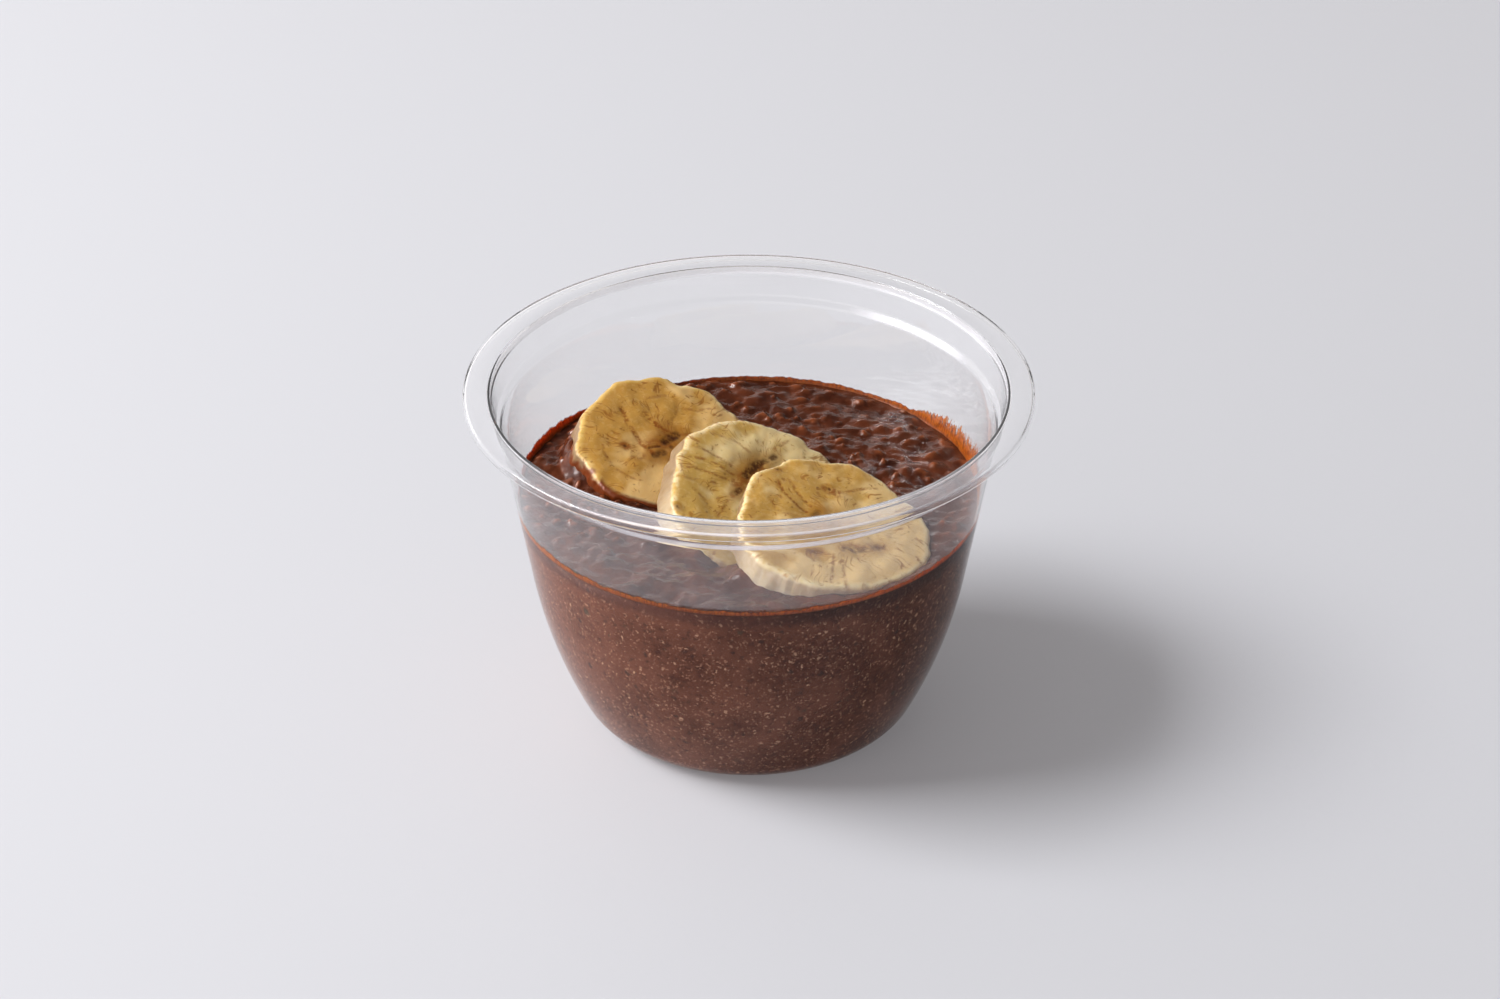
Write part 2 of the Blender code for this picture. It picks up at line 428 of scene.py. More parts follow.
def rim_corners():
    """Corners of the rim with their rounds: the outside going up, and the inside going down."""
    edge = CUP_RADIUS - FLANGE_WIDTH
    under, lip = CUP_HEIGHT - SKIN, CUP_HEIGHT - FLANGE_LIP
    outside, inside = wall_line(0.0), wall_line(SKIN)
    low = CUP_HEIGHT - LEDGE_DROP - LEDGE_WIDTH * 0.5
    high = low + LEDGE_RISE
    ledge = outside[-1][0] + LEDGE_WIDTH
    groove = CUP_HEIGHT - GROOVE_DROP
    groove_low, groove_high = groove - 0.2 * MM, groove + 0.1 * MM
    going_up = [
        (*outside[-2], 0.0), (*outside[-1], SOFT_BEND), (ledge, high, BEND),
        (edge + SKIN - GROOVE_STEP, groove_low, FINE_BEND), (edge + SKIN, groove_high, FINE_BEND),
        (edge + SKIN, under, BEND), (CUP_RADIUS - SKIN, under, SOFT_BEND), (CUP_RADIUS - SKIN, lip, 0.0)]
    going_down = [
        (CUP_RADIUS, lip, 0.0), (CUP_RADIUS, CUP_HEIGHT, LIP_BEND), (edge, CUP_HEIGHT, EDGE_BEND),
        (edge, groove_high, FINE_BEND), (edge - GROOVE_STEP, groove_low, FINE_BEND),
        (ledge - SKIN, high + 0.1 * MM, BEND), (inside[-1][0], low + 0.05 * MM, SOFT_BEND),
        (*inside[-2], 0.0)]
    return going_up, going_down


def cup_profile():
    """Outside from the middle of the base up to the flange's curl, then inside back down."""
    outside, inside = wall_line(0.0), wall_line(SKIN)
    going_up, going_down = rim_corners()
    rolled = arc((CUP_RADIUS - SKIN / 2, CUP_HEIGHT - FLANGE_LIP), SKIN / 2, pi, 2 * pi, 6)[1:-1]
    line = [(0.0, 0.0), (BASE_RADIUS * 0.5, 0.0)] + outside[:-2] + rounded(going_up) + rolled
    return line + rounded(going_down) + inside[-3::-1] + [(BASE_RADIUS * 0.5, SKIN), (0.0, SKIN)]


print("the cup's line has", len(cup_profile()), "points")

# %% [markdown]
# Clear plastic needs two things from its shader: full transmission, and a way for lamps to reach what
# is inside. Real light gets through by bending twice, which a path tracer finds only by luck. So for
# shadow and diffuse rays a Transparent shader stands in, and the camera still sees true plastic.

# %% Clear plastic
PLASTIC_IOR = 1.40
PLASTIC_COLOUR = (0.999, 0.999, 1.0)
PLASTIC_SHADE = (0.985, 0.985, 0.99)
RIPPLE_SCALE = (0.05, 0.05, 0.02)   # for each millimetre, so that the ripples are longer than wide


def let_lamps_through(shader, rays, tint):
    """For the named rays the surface is plain air with a tint."""
    tree = shader.id_data
    path = tree.nodes.new("ShaderNodeLightPath")
    open_air = tree.nodes.new("ShaderNodeBsdfTransparent")
    wire(tint, open_air.inputs["Color"])
    surface = shader.outputs["BSDF"]
    for ray in rays:
        surface = new_node("MixShader", path.outputs[ray], surface, open_air.outputs[0]).outputs[0]
    wire(surface, tree.nodes["Material Output"].inputs["Surface"])


def clear_plastic():
    mat, tree, shader = new_material("clear_plastic", Base_Color=PLASTIC_COLOUR, Roughness=0.0,
                                     IOR=PLASTIC_IOR, Transmission_Weight=1.0)
    ripple = grain(vector_calc("MULTIPLY", millimetres(tree), RIPPLE_SCALE), 1.0, 1.0)
    bump(ripple, shader, 0.10, 0.4 * MM)
    let_lamps_through(shader, ("Is Shadow Ray", "Is Diffuse Ray"), PLASTIC_SHADE)
    return mat


cup = piece("clear_cup", turned(cup_profile(), CUP_SIDES), clear_plastic())
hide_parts("cup")

# %% [markdown]
# ## Haze and painted highlights on the plastic
# Clear plastic is never quite clear. The cold pudding mists the inside of the wall, more towards the
# front, and the flange is a little milky from forming. Light is also painted into the coat: the front of
# the wall and of the flange is painted brighter, and there the lip and the ledge are painted white as
# highlights. Round the back a painted highlight line runs along the flange's inner edge, and a short
# stretch of the ledge has a painted glint. A thin shell carries all this as a pale coat that is nearly
# transparent. How dense it is at each place is kept in an attribute.

# %% Shell of haze and painted highlights
COAT_CLEAR = 0.02 * MM            # between the coat and the plastic
COAT_SHELL = 0.04 * MM
COAT_DEPTH = 20.5 * MM            # how far down the wall the coat reaches
# density of the coat: mist all round and more in the front half; painted brightness on the lit front
# and on its flange; painted highlights on the back bend, the ledge glint, and the lip and ledge in front
HAZE_AND_HIGHLIGHTS = dict(all=0.033, front=0.022, lit=0.018, flange=0.045, bend=0.20, glint=0.28, lip=0.30, ledge=0.43)
# the lip band, painted white as a highlight at the front, and the drop past which its outside stays bare
LIP_BAND, OUTSIDE_BAND = 0.40 * MM, 0.25 * MM
# how far under the top the painted highlight line on the flange's inner bend lies
BEND_DROP = 0.8 * MM
# where round the cup the painted glint on the ledge sits, and how wide it is
GLINT_ANGLE, GLINT_WIDTH = radians(46.0), radians(15.0)


def haze_and_highlights_at(place):
    """How dense the coat of mist and painted highlights is at a place on the inside of the cup."""
    radius, height = place.xy.length, place.z
    lip = smooth_step((radius - (CUP_RADIUS - LIP_BAND)) / (0.3 * MM))
    outside = smooth_step((CUP_HEIGHT - OUTSIDE_BAND - height) / (0.2 * MM)) * lip
    flange = smooth_step((radius - (CUP_RADIUS - FLANGE_WIDTH - 0.3 * MM)) / (0.6 * MM))
    ledge = smooth_step(1.8 - abs(height - (CUP_HEIGHT - LEDGE_DROP + 0.2 * MM)) / (0.45 * MM))
    bend = smooth_step(1.6 - abs(height - (CUP_HEIGHT - BEND_DROP)) / (0.6 * MM)) * (1.0 - flange)
    glint = smooth_step(1.4 - abs(atan2(place.y, place.x) - GLINT_ANGLE) / GLINT_WIDTH)
    # the front of the cup, where brightness and white highlights are painted
    lit = smooth_step((0.2 * place.x - 0.98 * place.y) / radius * 2.0 - 0.9)
    even = HAZE_AND_HIGHLIGHTS["all"] - HAZE_AND_HIGHLIGHTS["front"] * place.y / radius + (HAZE_AND_HIGHLIGHTS["lit"] + HAZE_AND_HIGHLIGHTS["flange"] * flange) * lit
    even *= (1.0 - outside) * (1.0 - lip * (1.0 - lit))
    # painted highlight line along the flange's inner bend, round the back
    even += HAZE_AND_HIGHLIGHTS["bend"] * bend * (1.0 - lit)
    edges = HAZE_AND_HIGHLIGHTS["lip"] * lip * (1.0 - outside) + HAZE_AND_HIGHLIGHTS["ledge"] * ledge
    # painted glint on the ledge, and the lip and ledge painted white at the front
    return even + HAZE_AND_HIGHLIGHTS["glint"] * ledge * glint + edges * lit


def build_haze_and_highlights(mat):
    level = CUP_HEIGHT - COAT_DEPTH
    wall = [point for point in wall_line(SKIN)[-3::-1] if point[1] > level]
    side = between([(CUP_RADIUS, CUP_HEIGHT - FLANGE_LIP), (CUP_RADIUS, CUP_HEIGHT - LIP_BEND)], 4)
    shell = side[:-1] + rounded(rim_corners()[1])[1:] + wall + [(wall_radius(level, SKIN), level)]
    near, far = [], []
    for index, (radius, height) in enumerate(shell):
        before, after = shell[max(0, index - 1)], shell[min(len(shell) - 1, index + 1)]
        along = Vector((after[0] - before[0], after[1] - before[1])).normalized()
        near.append((radius + along.y * COAT_CLEAR, height - along.x * COAT_CLEAR))
        far.append((radius + along.y * COAT_SHELL, height - along.x * COAT_SHELL))
    bm = turned(near + far[::-1], CUP_SIDES, closed=True)
    dense = bm.verts.layers.float.new("haze_and_painted_highlights")
    for vert in bm.verts:
        vert[dense] = haze_and_highlights_at(vert.co)
    return piece("plastic_haze_and_painted_highlights", bm, mat)


print("the coat on the front wall is", round(haze_and_highlights_at(Vector((0.0, -0.04, 0.05))), 3), "dense")

# %% Material of haze and painted highlights
def haze_and_highlights_material():
    mat, tree, shader = new_material("plastic_haze_and_painted_highlights", Base_Color=(0.97, 0.95, 0.99), Roughness=0.45, IOR=1.3)
    cloud = ramp(grain(millimetres(tree), 0.12, 3.0), 0.25, 0.75)
    uneven = plus(0.8, times(cloud, 0.4))
    # the attribute says how dense the mist and the painted highlights are
    wire(times(attribute(tree, "haze_and_painted_highlights"), uneven), shader.inputs["Alpha"])
    let_lamps_through(shader, ("Is Shadow Ray",), (1.0, 1.0, 1.0))
    return mat


haze_and_painted_highlights = build_haze_and_highlights(haze_and_highlights_material())

# %% [markdown]
# ## The banana slices, where they lie
# The slices lean on one another like roof tiles. Each row holds a slice's place, lean and outline, as
# the solids have them, and what the looks add: how high the pudding grips its wall, how far its wall
# slants, and which way its flesh gets darker. `slice_frame` gives the turn and shift from a slice's own
# flat coordinates to its place in the cup, and `slice_outline` its radius in each direction. The
# pudding needs both too, because it is banked up against the slices and hollowed under them.

# %% Slice places
LEVEL = CUP_HEIGHT - 21.74 * MM
SLICE_THICKNESS = 6.3 * MM
SLICE_REACH = 7.0                 # how far past its edge a slice still shapes the pudding, in millimetres
SLICES = {
    "banana_slice_back": dict(place=(-14.94, 11.10, 3.73), lean=(16.0, 10.8), radius=16.29, oval=(0.25, -47),
                              lobes=(0.16, -30), grip=3.9, slant=0.18, shade=(-0.020, 0.008)),
    "banana_slice_middle": dict(place=(2.46, -5.57, 1.92), lean=(20.5, 19.3), radius=17.49, oval=(0.35, 55),
                                lobes=(0.40, 14), grip=1.0, slant=0.22, shade=(-0.014, -0.009)),
    "banana_slice_front": dict(place=(14.61, -18.36, 4.79), lean=(8.9, 12.8), radius=17.19, oval=(0.54, 42),
                               lobes=(0.62, -6), grip=1.0, slant=0.05, shade=(-0.012, 0.008)),
}
frames = {}


def slice_frame(row):
    across, along, above = row["place"]
    spot = Vector((across * MM, along * MM, LEVEL + above * MM))
    turn = Euler((radians(row["lean"][0]), radians(row["lean"][1]), 0.0))
    return Matrix.LocRotScale(spot, turn, None)


def slice_outline(row, angle):
    oval = row["oval"][0] * cos(2 * (angle - radians(row["oval"][1])))
    lobes = row["lobes"][0] * cos(3 * (angle - radians(row["lobes"][1])))
    ribs = 0.14 * cos(7 * angle + row["oval"][1]) + 0.10 * cos(11 * angle + row["lobes"][1])
    return (row["radius"] + oval + lobes + ribs) * MM


def slices_near(x, y):
    return [f for f in frames.values() if (Vector((x, y)) - f["face"].xy).length < f["reach"]]


for name, row in SLICES.items():
    turn = slice_frame(row)
    normal = turn.to_3x3() @ Vector((0, 0, 1))
    under = turn.translation - normal * SLICE_THICKNESS
    frames[name] = dict(row=row, turn=turn, back=turn.inverted(), face=turn.translation, normal=normal,
                        under=under, reach=(row["radius"] + SLICE_REACH) * MM)
    print(name, "middle of its face at", [round(v / MM, 1) for v in turn.translation], "mm")

# %% [markdown]
# ## The pudding
# Thick chia pudding doesn't settle flat: it keeps the lumps and small ridges that the spoon leaves,
# and soaked seeds stand up under a skin of chocolate. Every point of the top is lifted by noise of
# several sizes, one inside the other. The seeds have seeded random places, kept in a grid so that each
# point looks only at those beside it. They are lower at the front, where the haze hides them.

# %% Seeds and relief
# size, height and stretch sideways of the swells, lumps and grains, in millimetres
RELIEF = ((6.5, 0.80, 1.2), (3.2, 0.46, 1.2), (1.6, 0.30, 1.1), (0.8, 0.10, 1.0))
SEED_COUNT = 500
SEED_SIZES = (0.65, 1.6)           # radius of the soaked seeds that stand up, in millimetres
SEED_REACH = 41.0 * MM
SEED_RISE = 0.95 * MM
SEED_CELL = 4 * MM


def scatter_seeds():
    """Seeded random places over the top, kept by the square of the grid that each lies in."""
    chance = random.Random(11)
    grid = {}
    for _ in range(SEED_COUNT):
        angle, reach = chance.uniform(0, 2 * pi), SEED_REACH * chance.random() ** 0.5
        size = chance.uniform(*SEED_SIZES) * MM
        stretch, height = chance.uniform(0.9, 1.4), chance.uniform(0.20, 0.50)
        x, y = reach * cos(angle), reach * sin(angle)
        for i in (-1, 0, 1):
            for j in (-1, 0, 1):
                cell = (int(x // SEED_CELL) + i, int(y // SEED_CELL) + j)
                grid.setdefault(cell, []).append((x, y, size, stretch, height))
    return grid


seed_grid = scatter_seeds()


def seeds_at(x, y):
    """How much of a soaked seed stands up at a place, from 0 to 1."""
    most = 0.0
    for sx, sy, size, stretch, height in seed_grid.get((int(x // SEED_CELL), int(y // SEED_CELL)), ()):
        apart = (((x - sx) / stretch) ** 2 + (y - sy) ** 2) ** 0.5 / size
        apart += 0.35 * noise.noise(Vector((x / MM, y / MM, size / MM * 9.0)))
        most = max(most, height * 2.0 * smooth_step(1.0 - apart))
    return most * (1.0 - 0.6 * smooth_step((-y - 12.0 * MM) / (12.0 * MM)))


def relief_at(x, y):
    """Swells of noise, then lumps with softened creases between them, then grains and seeds."""
    total = 0.0
    for index, (size, height, stretch) in enumerate(RELIEF):
        wave = noise.noise(Vector((x / size / stretch / MM, y / size / MM, index * 7.3)))
        if index == 1:
            wave = 2.0 * (wave * wave + 0.02) ** 0.5 - 0.5
        total += wave * height * MM
    return total + seeds_at(x, y) * SEED_RISE


print("relief near the right of the cup:", round(relief_at(0.03, 0.0) / MM, 2), "mm")

# %% [markdown]
# The slices shape the pudding round them. It rises to grip the wall of a slice that stands high, it
# falls towards the edge of one that is sunk in, and it is pressed down under all of them. So the height
# of each slice's two faces is worked out for every point, as a plane that slants with the slice.

# %% Banks, dips and hollows
BANK_WIDTH = 3.0 * MM
BANK_HEIGHT = 2.7 * MM
DIP_WIDTH = 9.0 * MM
DIP_DEPTH = 1.9 * MM
UNDER_EDGE = 0.3 * MM              # a dip ends this far under the edge of the face
UNDER_FACE = 0.4 * MM              # the top stays this far under a face that it meets
UNDER_SLICE = 0.15 * MM            # a hollow is this far under the slice
BESIDE = 2.0 * MM                  # within this of a slice the top is held under its face


def plane_height(origin, normal, x, y):
    """Height of a slanting plane over a place in the cup."""
    return origin.z - ((x - origin.x) * normal.x + (y - origin.y) * normal.y) / normal.z


def beside_slices(x, y, near):
    """The rise that holds a slice, the fall to one that is sunk in, and how rough the top stays."""
    rise, fall, free, rough = 0.0, 0.0, 1.0, 1.0
    for f in near:
        height = plane_height(f["under"], f["normal"], x, y)
        local = f["back"] @ Vector((x, y, height))
        outside = local.xy.length - slice_outline(f["row"], atan2(local.y, local.x))
        close = smooth_step(1.0 - outside / BANK_WIDTH)
        rise = max(rise, min(BANK_HEIGHT, height + f["row"]["grip"] * MM - LEVEL) * close * free)
        rough = min(rough, 1.0 - 0.1 * close)
        apart = (Vector((x, y)) - f["face"].xy).length - f["row"]["radius"] * MM
        free = min(free, smooth_step(apart / BANK_WIDTH))
        local = f["back"] @ Vector((x, y, plane_height(f["face"], f["normal"], x, y)))
        angle = atan2(local.y, local.x)
        reach = slice_outline(f["row"], angle)
        edge = f["turn"] @ Vector((reach * cos(angle), reach * sin(angle), 0.0))
        sunk = max(-DIP_DEPTH, min(0.0, edge.z - UNDER_EDGE - LEVEL))
        fall = min(fall, sunk * smooth_step(1.0 - (local.xy.length - reach) / DIP_WIDTH))
    return rise, fall, rough


def hollowed(x, y, height, near):
    """Lowers the top to just under a slice that is pressed in, starting inside its edge."""
    for f in near:
        face = plane_height(f["face"], f["normal"], x, y)
        under = plane_height(f["under"], f["normal"], x, y)
        local = f["back"] @ Vector((x, y, max(under, min(face, height))))
        inside = slice_outline(f["row"], atan2(local.y, local.x)) - local.xy.length
        if inside > -BESIDE:
            height = min(height, max(face, LEVEL - DIP_DEPTH) - UNDER_FACE + max(0.0, -inside))
        if inside > 0.0 and under < height:
            open_above = smooth_step((face - height) / UNDER_FACE)
            press = smooth_step((inside - 0.2 * MM) / (1.0 * MM)) * open_above
            height += (under - UNDER_SLICE - height) * press
    return height


def pudding_height(x, y, share):
    """Height of the top at a place, calmer towards the wall, which it meets at share 1."""
    calm = smooth_step((1.0 - share) * 14.0)
    near = slices_near(x, y)
    rise, fall, rough = beside_slices(x, y, near)
    height = LEVEL + relief_at(x, y) * (0.25 + 0.75 * calm) * rough + (rise + fall) * smooth_step(calm * 2.0)
    return hollowed(x, y, height, near)


print("the top beside the back slice:", round((pudding_height(0.005, 0.015, 0.4) - LEVEL) / MM, 2), "mm")

# %% [markdown]
# Where the pudding touches the cup it is flat and smooth. Its body is turned from a line that bites a
# little into the plastic, so that no air shows between. The faces of its top and of its side get a
# material each, because the same chocolate looks paler through the wall.

# %% Pudding body
BITE = 0.18 * MM
PUDDING_RINGS = 125
PUDDING_SIDES = 512
TOP_FROM = LEVEL - 0.01 * MM
WALL_SHARE = 0.998


def build_pudding(*materials):
    inset = SKIN - BITE
    edge = wall_radius(LEVEL, inset)
    side = [point for point in wall_line(inset, 8, 12, 6) if point[1] < LEVEL - 0.5 * MM]
    line = [(0.0, inset), (BASE_RADIUS * 0.5, inset)] + side + [(edge, LEVEL)]
    line += [(edge * (1 - i / PUDDING_RINGS), LEVEL) for i in range(1, PUDDING_RINGS + 1)]
    bm = turned(line, PUDDING_SIDES)
    seeds = bm.verts.layers.float.new("seed")
    for face in bm.faces:
        face.material_index = int(face.calc_center_median().z < TOP_FROM)
    for vert in bm.verts:
        share = vert.co.xy.length / edge
        if vert.co.z > TOP_FROM and share < WALL_SHARE:
            vert[seeds] = seeds_at(vert.co.x, vert.co.y)
            vert.co.z = pudding_height(vert.co.x, vert.co.y, share)
    bm.normal_update()
    return piece("pudding_mass", bm, *materials)


print("the pudding reaches", round(BITE / MM, 2), "mm into the plastic")

# %% [markdown]
# The top is nearly black chocolate with a wet shine. Where it presses against the plastic it looks
# lighter, like milk chocolate, and is full of flecks: pale seed husks, dark seeds and a few greenish
# ones. The flecks are Voronoi cells, each kept or dropped by the random colour of its cell. One group
# makes the masks of all four kinds.

# %% Flecks
# for each kind: cells in a millimetre, size within a cell, and the share of cells that stay empty
FLECK_KINDS = {"Fine": (1.9, 0.38, 0.25), "Pale": (1.0, 0.27, 0.55), "Dark": (0.60, 0.25, 0.50),
               "Seeds": (0.26, 0.15, 0.60)}


def fleck_group():
    """Masks of flecks: pale fine ones, pale and dark ones, and larger seeds."""
    group, start, end = group_of("flecks", {"Vector": "Vector"}, {label: "Float" for label in FLECK_KINDS})
    place = start.outputs["Vector"]
    crooked = vector_calc("SCALE", grain(place, 0.9, output="Color"), 1.6)
    place = vector_calc("ADD", place, crooked)
    for label, (scale, size, empty) in FLECK_KINDS.items():
        found = spots(vector_calc("ADD", place, (scale * 31.0, 4.0, 7.0)), scale)
        choice = new_node("SeparateColor", found["Color"]).outputs
        limit = times(size, plus(choice[1], 0.45))
        near = ramp(calc("DIVIDE", found["Distance"], limit), 1.25, 0.6)
        strength = ramp(choice[0], empty, 1.05)
        wire(times(near, strength), end.inputs[label])
    return group


FLECKS = fleck_group()
print("kinds of flecks:", ", ".join(FLECK_KINDS))

# %% Pudding materials
TOP_BROWN, TOP_DARK = (0.124, 0.034, 0.013), (0.056, 0.013, 0.005)
TOP_GRAIN, TOP_SEED = (0.16, 0.055, 0.022), (0.26, 0.080, 0.030)
SIDE_BROWN, SIDE_DARK = (0.172, 0.062, 0.035), (0.086, 0.022, 0.008)
MOTTLE_PALE, MOTTLE_DARK = (0.185, 0.068, 0.038), (0.050, 0.016, 0.010)
BAND_DARK = (0.050, 0.016, 0.014)
SIDE_IOR = 1.15                    # low, as wet chocolate mirrors little behind plastic
FLECK_TINTS = {"Fine": (0.85, (0.38, 0.195, 0.120)), "Pale": (0.92, (0.50, 0.30, 0.19)),
               "Dark": (0.7, (0.035, 0.016, 0.012)), "Seeds": (0.8, (0.050, 0.048, 0.030))}


def pudding_top_material():
    mat, tree, shader = new_material("pudding_top", IOR=1.42)
    mm = millimetres(tree)
    broad, fine = grain(mm, 0.16, 3.0), grain(mm, 1.3, 3.0)
    colour = mixed(ramp(broad, 0.35, 0.7), TOP_BROWN, TOP_DARK)
    colour = tinted(colour, ramp(fine, 0.56, 0.72), 0.35, TOP_GRAIN)
    colour = tinted(colour, ramp(attribute(tree, "seed"), 0.15, 0.75), 0.8, TOP_SEED)
    wire(colour, shader.inputs["Base Color"])
    wire(plus(0.12, times(broad, 0.18)), shader.inputs["Roughness"])
    bump(grain(mm, 1.8, 2.0), shader, 0.30, 0.3 * MM)
    return mat


def pudding_side_material():
    mat, tree, shader = new_material("pudding_at_wall", Roughness=0.4, IOR=SIDE_IOR)
    mm = millimetres(tree)
    # painted light: the X term makes the side paler on the left, by the lamp, and darker on the right
    cloud = plus(grain(mm, 0.12, 3.0), times(separate(mm, "X"), 0.005))
    mottle = grain(mm, 0.9, 3.0, 0.6)
    colour = mixed(ramp(cloud, 0.30, 0.70), SIDE_BROWN, SIDE_DARK)
    colour = tinted(colour, ramp(mottle, 0.45, 0.68), 0.42, MOTTLE_PALE)
    colour = tinted(colour, ramp(mottle, 0.46, 0.32), 0.5, MOTTLE_DARK)
    found = use_group(tree, FLECKS, Vector=mm)
    for label, (strength, paint) in FLECK_TINTS.items():
        colour = tinted(colour, found[label], strength, paint)
    depth = minus(LEVEL / MM, separate(mm, "Z"))
    colour = tinted(colour, ramp(depth, 3.9, 1.4), 0.60, BAND_DARK)
    wire(colour, shader.inputs["Base Color"])
    return mat


pudding = build_pudding(pudding_top_material(), pudding_side_material())
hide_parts("pudding")

# %% [markdown]
# ## The film on the wall
# A spoonful that touched the wall leaves a film behind. It is a thin line of thin chocolate all round
# and a tall feathery smear at the right. So thin a layer lets light through and looks orange-brown.
# It is a narrow strip of real thickness, as high as the smear is at each place round the cup.

# %% Film strip
FILM_THICKNESS = 0.16 * MM
FILM_LOW = -0.5 * MM
FILM_HIGH = 5.0 * MM
FILM_ROWS = 14
FILM_SIDES = 640
FILLET = 0.5 * MM                  # the film thickens by this at the pudding
FILLET_FADE = 0.45 * MM
# angle round the cup in degrees, height of the film in millimetres
FILM_HEIGHTS = ((-180, 1.5), (-160, 1.9), (-120, 1.4), (-90, 1.2), (-60, 1.4), (-20, 1.6), (0, 2.8),
                (12, 4.3), (24, 4.1), (36, 3.0), (44, 1.2), (70, 1.0), (110, 0.9), (136, 1.2), (150, 2.1),
                (165, 2.2), (180, 1.5))


def film_height(angle):
    for (a0, h0), (a1, h1) in zip(FILM_HEIGHTS, FILM_HEIGHTS[1:]):
        if a0 <= angle <= a1:
            return (h0 + (h1 - h0) * smooth_step((angle - a0) / (a1 - a0))) * MM
    return FILM_HEIGHTS[-1][1] * MM


def build_film(mat):
    low, high = LEVEL + FILM_LOW, LEVEL + FILM_HIGH
    inset = SKIN - BITE * 0.5
    edge = wall_radius(low, inset)
    outer = [(edge, low + i / FILM_ROWS * (high - low)) for i in range(FILM_ROWS + 1)]
    bm = turned(outer + [(edge - FILM_THICKNESS, z) for _, z in reversed(outer)], FILM_SIDES, closed=True)
    shares = bm.verts.layers.float.new("share")
    tallness = bm.verts.layers.float.new("tall")
    for vert in bm.verts:
        angle = atan2(vert.co.y, vert.co.x)
        share = (vert.co.z - low) / (high - low)
        ragged = 1.0 + 0.35 * noise.noise(Vector((cos(angle) * 14, sin(angle) * 14, 3.0)))
        ragged += 0.25 * noise.noise(Vector((cos(angle) * 45, sin(angle) * 45, 9.0)))
        tall = film_height(degrees(angle)) * ragged - FILM_LOW
        vert[shares] = share
        vert[tallness] = smooth_step((tall / MM - 2.2) / 3.0)
        inner = 1.0 if vert.co.xy.length < edge - FILM_THICKNESS / 2 else 0.0
        height = low + tall * share
        thin = FILM_THICKNESS * (1.0 - 0.75 * share) + FILLET * exp(-(height - low) / FILLET_FADE)
        radius = wall_radius(height, inset) - inner * thin
        vert.co = Vector((radius * cos(angle), radius * sin(angle), height))
    bmesh.ops.recalc_face_normals(bm, faces=bm.faces)
    return piece("pudding_film", bm, mat)


print("the smear is tallest at", max(FILM_HEIGHTS, key=lambda row: row[1])[0], "degrees")

# %% Film material
FILM_LOWER, FILM_UPPER, FILM_STREAK = (0.27, 0.068, 0.009), (0.41, 0.122, 0.009), (0.17, 0.038, 0.005)


def film_material():
    mat, tree, shader = new_material("pudding_film", Roughness=0.3, IOR=1.42, Subsurface_Weight=0.6,
                                     Subsurface_Radius=(1.0, 0.45, 0.2), Subsurface_Scale=0.6 * MM)
    mm = millimetres(tree)
    streaks = grain(vector_calc("MULTIPLY", mm, (2.6, 2.6, 0.5)), 1.0, 4.0, 0.7)
    above = minus(separate(mm, "Z"), LEVEL / MM)
    colour = mixed(ramp(above, -0.2, 1.1), FILM_LOWER, FILM_UPPER)
    colour = tinted(colour, ramp(streaks, 0.45, 0.60), 0.9, FILM_STREAK)
    wire(colour, shader.inputs["Base Color"])
    feathery = plus(times(attribute(tree, "tall"), 2.0), 0.15)
    teeth = times(minus(streaks, 0.5), feathery)
    ragged = plus(attribute(tree, "share"), teeth)
    wire(ramp(ragged, 0.86, 0.64), shader.inputs["Alpha"])
    return mat


film = build_film(film_material())

# %% [markdown]
# ## Marks and edges of the slices
# A cut face has a brown heart where the seeds were, and fibres that run out from it. The main ones are
# placed one by one, so that each slice is the one in the photograph. A mark is a short line that runs
# through a few points. A cut edge isn't even either: it swells and has notches, each a smooth bump over
# some degrees. All of it is in the slice's own flat coordinates.

# %% Marks
# middle of the fibres of each slice
HEARTS = {"banana_slice_back": (0.0, -1.0), "banana_slice_middle": (-2.6, 4.0),
          "banana_slice_front": (-0.5, 0.0)}
# marks on the cut faces, in millimetres: half width, strength, then the points that each one runs through
CORES = {
    "banana_slice_back": (
        (1.3, 1.0, (1.8, 2.4), (-0.2, 0.3)), (1.0, 0.8, (-1.8, -3.6), (-0.2, -2.6)), (0.7, 0.8, (1.1, -0.8)),
        (0.5, 0.9, (-7.4, -2.3)), (0.45, 0.8, (-2.9, -2.0), (-1.2, -1.2))),
    "banana_slice_middle": (
        (1.3, 1.0, (-3.4, 4.2), (-2.6, 6.0), (-1.5, 7.8)), (0.9, 0.8, (-1.5, 7.8), (1.1, 10.2)),
        (0.8, 0.8, (-4.9, -0.6), (-4.3, 0.4)), (0.5, 1.0, (-14.9, -7.2))),
    "banana_slice_front": (
        (0.9, 0.7, (-2.6, 2.0), (-3.2, 0.9)), (1.1, 0.45, (-3.7, -8.6), (-2.3, -8.3)),
        (1.1, 0.6, (2.2, -6.4), (4.1, -6.2), (6.1, -5.5)), (1.1, 0.55, (7.6, -4.6), (8.9, -3.6)),
        (0.45, 0.9, (-10.1, 11.9)), (0.7, 0.6, (-0.8, 8.9))),
}
